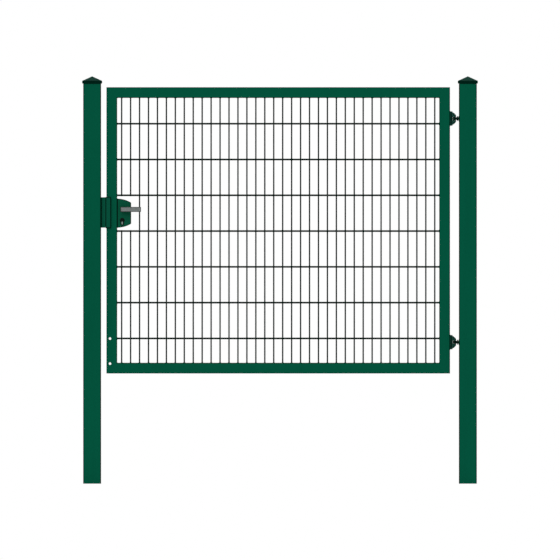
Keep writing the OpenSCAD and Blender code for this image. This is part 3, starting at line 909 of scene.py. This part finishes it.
def make_key_cylinder(nickel, plastic):
    """Profile cylinder through the case, with a plug and a plate at each end."""
    low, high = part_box("key_cylinder")
    ease = 2.1 * MM
    eased = [(-ease, 0), (-0.3 * ease, 0.3 * ease), (0, ease)]
    rings = [key_ring(rim, low.y + depth) for rim, depth in eased]
    rings += [key_ring(rim, high.y - depth) for rim, depth in reversed(eased)]
    cylinder = loft("profile_cylinder", rings)
    ends = [("front", -1, KEY_AXIS + Vector((0, low.y, 0))), ("rear", 1, KEY_AXIS + Vector((0, high.y, 0)))]
    seat = [(-1.2 * MM, 7.8 * MM), (1 * MM, 7.8 * MM)]
    combine(cylinder, "DIFFERENCE", [turned("seat", seat, face, (0, side, 0)) for _, side, face in ends])
    dress(cylinder, "leaf", "nickel_brass", nickel, "key_cylinder", narrow=2.4 * MM)
    for place, side, face in ends:
        make_key_plug(place, side, face, plastic)
        make_escutcheon(place, side, plastic)


def make_forend(stainless, zinc):
    """Edge plate of the lock with its two screws."""
    low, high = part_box("lock_forend")
    plate = block("forend_plate", low, high)
    room, past = 0.2 * MM, 1 * MM
    slots = []
    for near, far in (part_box("latch_bolt"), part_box("dead_bolt")):
        start = (low.x - past, near.y - room, near.z - room)
        slots.append(block("slot", start, (high.x + past, far.y + room, far.z + room)))
    combine(plate, "DIFFERENCE", slots)
    soften(plate, 0.7 * MM, angle=50)
    head = 4.5 * MM
    countersink(plate, "forend_screws", -1, head, 2.6 * MM, 2.1 * MM, 28)
    dress(plate, "leaf", "stainless_steel", stainless, "lock_forend", narrow=0.5 * MM, depth=0.5)
    add_screws("forend_fixings", "forend_screws", "leaf", -1, head, 2.5 * MM, zinc)


def make_bolts(zinc):
    """Spring latch with a slanted nose, and the square dead bolt."""
    low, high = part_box("latch_bolt")
    nose, heel = 3 * MM, high.x - 4 * MM
    outline = [(high.x, low.y), (high.x, high.y), (low.x, high.y), (low.x, high.y - nose), (heel, low.y)]
    latch = loft("spring_latch", [[(x, y, z) for x, y in outline] for z in (low.z, high.z)])
    dead = block("dead_bar", *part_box("dead_bolt"))
    for bolt, node in ((latch, "latch_bolt"), (dead, "dead_bolt")):
        soften(bolt, 0.7 * MM)
        dress(bolt, "leaf", "zinc_steel", zinc, node, narrow=0.5 * MM, depth=0.5)


def make_lever(place, side, alloy):
    """Lever with a round neck and a flat square-ended grip; side is -1 in front and 1 behind."""
    node = "lever_" + place
    low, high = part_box(node)
    middle, half = (low + high) / 2, (high - low) / 2
    root, tip = (low.y, high.y) if side > 0 else (high.y, low.y)
    thick, ease, border = 12 * MM, 2.6 * MM, 1.2 * MM
    largest, smallest = 3 * MM, 0.4 * MM
    curve = arc((ease, ease), ease, 270, 180, 3)
    sections = [(inset, thick - depth) for inset, depth in curve] + curve[::-1] + [(ease + border, 0)]
    rings = []
    for inset, depth in sections:
        flat = rounded_ring(half.x - inset, half.z - inset, max(largest - inset, smallest))
        rings.append([(middle.x + x, tip - side * depth, middle.z + z) for x, z in flat])
    grip = loft(place + "_lever", rings)
    length = abs(tip - root) - 2 * MM
    profile = [(0, NECK_RADIUS - 0.6 * MM), (0.6 * MM, NECK_RADIUS), (length, NECK_RADIUS)]
    base = Vector((LEVER_TURN.x, root, LEVER_TURN.z))
    combine(grip, "UNION", [turned("neck", profile, base, (0, side, 0), 48)])
    dress(grip, "lever", "grey_aluminium", alloy, node, narrow=1.5 * MM)


def make_lever_bush(place, side, plastic):
    """Plastic ring in the case round a lever's neck."""
    face = Vector((LEVER_TURN.x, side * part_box("lock_case")[1].y, LEVER_TURN.z))
    inner, outer = NECK_RADIUS + 0.15 * MM, NECK_RADIUS + 1.8 * MM
    profile = [(-1 * MM, inner), (-1 * MM, outer), (1.0 * MM, outer), (1.6 * MM, outer - 0.6 * MM),
               (1.6 * MM, inner + 0.4 * MM), (1.2 * MM, inner)]
    ring = turned(place + "_bush", profile, face, (0, side, 0), 48, closed=True)
    dress(ring, "leaf", "black_plastic", plastic)


# Hinges

def bracket_ring(low, high, y):
    """Outline of a bracket at one depth: a base plate and a disc, cut off by the nose round the pin."""
    half, ease = high.y, 1.8 * MM
    past = max(0, abs(y) - (half - ease))
    inset = ease - sqrt(ease ** 2 - past ** 2)
    disc, front = BRACKET_RADIUS - inset, BRACKET_BASE - inset
    middle, base = (low.z + high.z) / 2, (high.z - low.z) / 2 - inset
    reach = HINGE_X + sqrt(max(0, half ** 2 - y ** 2)) - low.x
    top, cut = degrees(acos(front / disc)), degrees(acos(reach / disc))
    flat = [(0, -base), (front, -base)] + arc((0, 0), disc, -top, -cut, 8)
    flat += arc((0, 0), disc, cut, top, 8) + [(front, base), (0, base)]
    return [(low.x + x, y, middle + z) for x, z in flat]


def make_bracket(place, pin, steel):
    """Forged bracket: a tall base on the stile and a half-round body with two ears round the pin."""
    node = "hinge_bracket" + place
    low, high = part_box(node)
    half, slot_half = high.y, EYE_HALF + 0.3 * MM
    depths = [half * sin(radians(turn)) for turn in range(-90, 91, 10)]
    bracket = loft("hinge_knuckle" + place, [bracket_ring(low, high, depth) for depth in depths])
    slot_x, past = low.x + BRACKET_BASE + 0.7 * MM, 100 * MM
    cutters = [block("slot", (slot_x, -past, pin.z - slot_half), (high.x + past, past, pin.z + slot_half))]
    seat = PIN_HEAD_RADIUS + 0.2 * MM
    profile = [(8 * MM, PIN_RADIUS), (PIN_SEAT, PIN_RADIUS), (PIN_SEAT + 0.01 * MM, seat), (60 * MM, seat)]
    for way in (-1, 1):
        cutters.append(turned("seat", profile, pin, (0, 0, way), 36))
    for groove in ((8.6, 1.4, 2.6, 31), (20, 1, 1.8, 27)):
        x, deep, radius, reach = (size * MM for size in groove)
        for way in (-1, 1):
            centre = Vector((low.x + x, way * (half + radius - deep), pin.z))
            cutters.append(turned("groove", [(-reach, radius), (reach, radius)], centre, (0, 0, 1), 24))
    combine(bracket, "DIFFERENCE", cutters)
    dress(bracket, "leaf", "hinge_steel", steel, node, narrow=1.0 * MM, sharp=32)


def mirrored(upper):
    """Whole profile of a piece whose lower half is the mirror of its upper half."""
    return [(-along, radius) for along, radius in reversed(upper)] + upper


def make_pin(place, middle, zinc):
    """Hinge pin with a domed head at each end."""
    node = "hinge_pin" + place
    low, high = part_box(node)
    half, head = (high.z - low.z) / 2, PIN_HEAD_RADIUS
    upper = [(PIN_SEAT, PIN_RADIUS), (PIN_SEAT, head), (half - 2.6 * MM, head), (half - 1.4 * MM, 6.4 * MM),
             (half - 0.4 * MM, 4.6 * MM), (half, 2 * MM)]
    pin = turned("knuckle_pin" + place, mirrored(upper), middle, (0, 0, 1), 36)
    dress(pin, "leaf", "zinc_steel", zinc, node)


def make_eye_bolt(place, pin, steel, threads):
    """Forged eye on a threaded shank that runs into the post."""
    node = "eye_bolt" + place
    low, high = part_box(node)
    outer, bore = (high.y - low.y) / 2, PIN_RADIUS + SLIP
    ease, mid_ease, bore_ease = 1.2 * MM, 0.35 * MM, 0.6 * MM
    upper = [(EYE_HALF - ease, outer), (EYE_HALF - mid_ease, outer - mid_ease), (EYE_HALF, outer - ease),
             (EYE_HALF, bore + bore_ease), (EYE_HALF - bore_ease, bore)]
    eye = turned("eye", mirrored(upper), pin, (0, 0, 1), 44, closed=True)
    plain = 14 * MM
    profile = [(6.5 * MM, SHANK_RADIUS - 0.5 * MM), (outer, SHANK_RADIUS), (plain - 0.8 * MM, SHANK_RADIUS),
               (plain, SHANK_RADIUS - 0.8 * MM)]
    combine(eye, "UNION", [turned("shank", profile, pin, (1, 0, 0), 36)])
    length = high.x - pin.x - plain
    thread = grow("thread", threads, Radius=SHANK_RADIUS, Pitch=2 * MM, Length=length)
    thread.data.transform(aim(pin + Vector((plain - 0.2 * MM, 0, 0)), (1, 0, 0)))
    bolt = join("eye_and_shank" + place, [eye, thread])
    dress(bolt, "posts", "hinge_steel", steel, node)


def make_lock_nut(place, pin, steel):
    """Hexagon nut with chamfered corners and a bore."""
    node = "lock_nut" + place
    low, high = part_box(node)
    thick = high.x - low.x
    corner = NUT_HALF / cos(radians(30))
    bore, past = SHANK_RADIUS + SLIP, 0.2 * MM
    start, way = Vector((low.x, 0, pin.z)), (1, 0, 0)
    nut = turned("shank_nut" + place, [(0, corner), (thick, corner)], start, way, 6)
    flats_up = Matrix.Rotation(radians(30), 4, "X")
    nut.data.transform(Matrix.Translation(start) @ flats_up @ Matrix.Translation(-start))
    turn = [(0, NUT_HALF - 0.4 * MM), (0.9 * MM, corner + past), (thick - 0.9 * MM, corner + past),
            (thick, NUT_HALF - 0.4 * MM)]
    combine(nut, "INTERSECT", [turned("chamfer", turn, start, way, 48)])
    mouth = bore + 1 * MM
    hole = [(-past, mouth), (0.8 * MM, bore), (thick - 0.8 * MM, bore), (thick + past, mouth)]
    combine(nut, "DIFFERENCE", [turned("bore", hole, start, way, 36)])
    soften(nut, 0.35 * MM, segments=2, angle=40)
    dress(nut, "posts", "hinge_steel", steel, node, narrow=0.3 * MM)


def make_post_insert(place, pin, zinc):
    """Round insert in the post's wall: a thin flange outside, a body within."""
    node = "post_insert" + place
    low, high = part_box(node)
    flange, thick = (high.y - low.y) / 2, 1.5 * MM
    length = high.x - low.x
    body, bore = SHANK_RADIUS + 3 * MM, SHANK_RADIUS + SLIP
    profile = [(0, bore + 0.8 * MM), (0, flange - 0.5 * MM), (0.5 * MM, flange), (thick, flange),
               (thick, body), (length - 1 * MM, body), (length, body - 1 * MM), (length, bore),
               (0.8 * MM, bore)]
    start = Vector((low.x, 0, pin.z))
    insert = turned("wall_insert" + place, profile, start, (1, 0, 0), 44, closed=True)
    dress(insert, "posts", "zinc_steel", zinc, node)


def make_hinges(steel, bolt_steel, zinc):
    """Both hinges, each with its bracket, pin, eye bolt, nut and insert."""
    threads = thread_tree()
    for place in ("_upper", "_lower"):
        low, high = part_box("hinge_bracket" + place)
        pin = Vector((HINGE_X, 0, (low.z + high.z) / 2))
        make_bracket(place, pin, steel)
        make_pin(place, pin, zinc)
        make_eye_bolt(place, pin, bolt_steel, threads)
        make_lock_nut(place, pin, bolt_steel)
        make_post_insert(place, pin, zinc)


# Welds

def leaf_weld_lines():
    """Where the leaf is welded: round the hinge brackets, at the case's ends and in the frame's corners."""
    lines = []
    inset, case_inset = 0.6 * MM, 0.8 * MM
    for node in ("hinge_bracket_upper", "hinge_bracket_lower"):
        low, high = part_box(node)
        corners = [(low.y, low.z), (high.y, low.z), (high.y, high.z), (low.y, high.z), (low.y, low.z)]
        lines.append([(low.x + inset, y, z) for y, z in corners])
    low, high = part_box("lock_case")
    reach = high.y - 3 * MM
    ends = [(low.x + case_inset, low.z + inset), (low.x + case_inset, high.z - inset)]
    low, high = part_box("mesh_latch_side")[0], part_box("mesh_hinge_side")[1]
    ends += [(x, z) for x in (low.x, high.x) for z in (low.z, high.z)]
    return lines + [[(x, -reach, z), (x, reach, z)] for x, z in ends]


def make_welds(paint):
    """Weld beads on the leaf and behind the stop bar."""
    tree = weld_run_tree()
    beads = weld_runs("leaf_weld_beads", tree, leaf_weld_lines(), 2.4 * MM, 3)
    dress(beads, "leaf", "green_paint", paint)
    low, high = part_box("stop_bar")
    middle, half_bead, end_gap = (low.z + high.z) / 2, 15 * MM, 12 * MM
    shift = (high.z - low.z) / 2 - end_gap - half_bead
    lines = []
    for z in (middle - shift, middle, middle + shift):
        lines.append([(low.x, high.y, z - half_bead), (low.x, high.y, z + half_bead)])
    beads = weld_runs("keep_weld_beads", tree, lines, 2.0 * MM, 7)
    dress(beads, "posts", "keep_paint", paint)


def build():
    """The whole scene: the camera and light, the finishes, then each piece."""
    bpy.context.scene.view_settings.view_transform = "Standard"
    set_camera()
    set_sky()
    add_sun("key_light", strength=1.5, spread=50, azimuth=-25, elevation=35)
    add_sun("back_light", strength=1.2, spread=50, azimuth=160, elevation=40)
    lay_floor()

    # Painted shade: rim, seam and the cap's second colour are dark greens that the finishes lay along edges, seams
    # and the cap's upright rim.
    rim = card(0, 28, 18)
    seam_shade = card(0, 10, 5)
    green = powder_coat("green_coat", card(0, 80, 58), rim)
    case_green = powder_coat("case_coat", card(6, 77, 55), seam_shade)
    keep_green = powder_coat("keep_coat", card(4, 77, 57), seam_shade)
    cap_green = powder_coat("cap_coat", card(14, 54, 44), card(0, 30, 21), gloss=0.6, dusting=0.0,
                            speckle=0.08, shine=0.01)
    mesh_coat = powder_coat("mesh_coat", card(0, 20, 14), seam_shade, gloss=0.4)
    hinge_green = powder_coat("hinge_coat", card(26, 66, 57), seam_shade, gloss=0.55, dusting=0.02)
    bolt_coat = powder_coat("bolt_coat", card(4, 26, 20), seam_shade, gloss=0.5, dusting=0.02, shine=0.03)
    bead_green = weld_paint("bead_coat", card(2, 52, 38), seam_shade)
    # Each metal's second colour serves both for its stains and as painted shade along its edges.
    zinc = metal("zinc_plate", card(150, 152, 146), card(92, 92, 86), (1, 1, 4))
    # Zinc far darker than bare zinc, for the hinge pins and the post inserts.
    dull_zinc = metal("weathered_zinc", card(52, 64, 58), card(18, 28, 24), (1, 1, 4))
    stainless = metal("brushed_stainless", card(168, 170, 168), card(110, 110, 106), (6, 6, 0.3))
    nickel = metal("satin_nickel", card(120, 136, 130), card(0, 8, 5), (1, 1, 6))
    alloy = metal("grey_alloy", card(108, 113, 112), card(16, 20, 19), (0.5, 8, 8), 0.42, metallic=0.6)
    plastic = moulded_plastic("black_moulding", card(0, 11, 7), card(0, 6, 3))

    for side in ("latch", "hinge"):
        make_post(side, green)
    for side in ("latch", "hinge"):
        make_cap(side, cap_green)
    make_keep(keep_green, zinc)
    make_leaf_frame(green)
    make_mesh_panel(mesh_coat)
    make_case(case_green)
    make_key_cylinder(nickel, plastic)
    make_forend(stainless, zinc)
    make_bolts(zinc)
    for place, side in LEVER_SIDES:
        make_lever(place, side, alloy)
    for place, side in LEVER_SIDES:
        make_lever_bush(place, side, plastic)
    make_hinges(hinge_green, bolt_coat, dull_zinc)
    make_welds(bead_green)
    for node in ("lock_body", "spindle"):
        materials = frame["nodes"][node].data.materials
        materials.clear()
        materials.append(zinc)


build()
